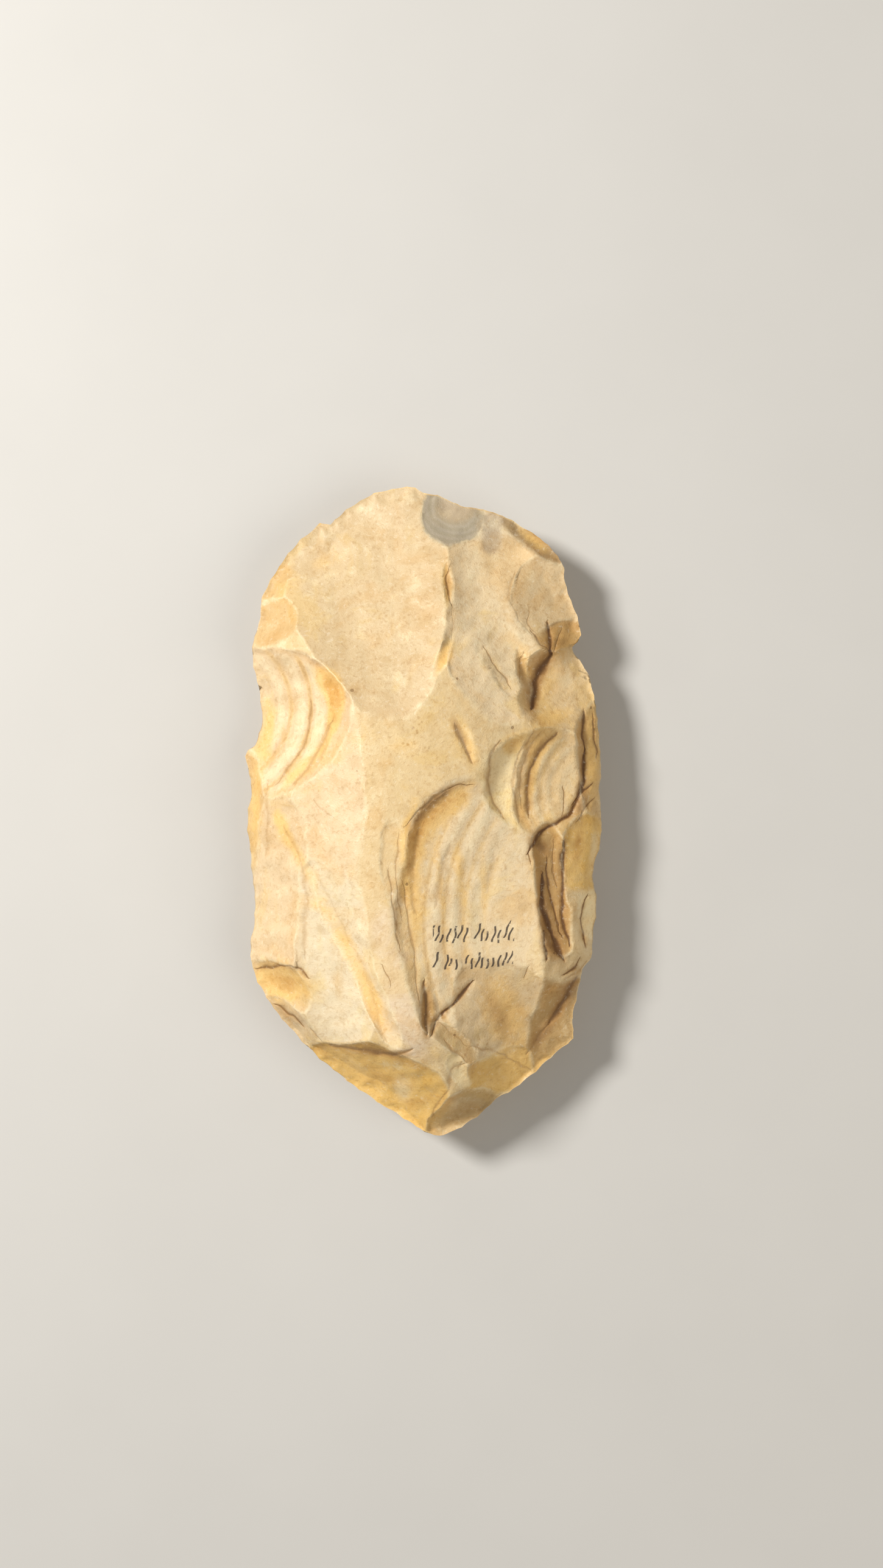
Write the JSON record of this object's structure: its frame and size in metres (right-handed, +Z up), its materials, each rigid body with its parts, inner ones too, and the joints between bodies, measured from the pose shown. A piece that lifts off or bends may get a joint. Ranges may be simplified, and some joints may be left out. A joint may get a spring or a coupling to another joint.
{
  "type": "stone hand axe",
  "caption": "Knapped flint hand axe with a rounded broad end and a blunt point, lying on its flatter face.",
  "frame": {"origin": "middle of the outline's box, on the flat resting spot of the lower face", "axes": "+Z up from the resting spot, +Y along the length towards the rounded broad end, +X to the right seen from above"},
  "size_m": [0.0664, 0.12, 0.0266],
  "materials": {
    "flint": "satin"
  },
  "bodies": {
    "root": {"hand_axe": "flint"}
  },
  "joints": []
}
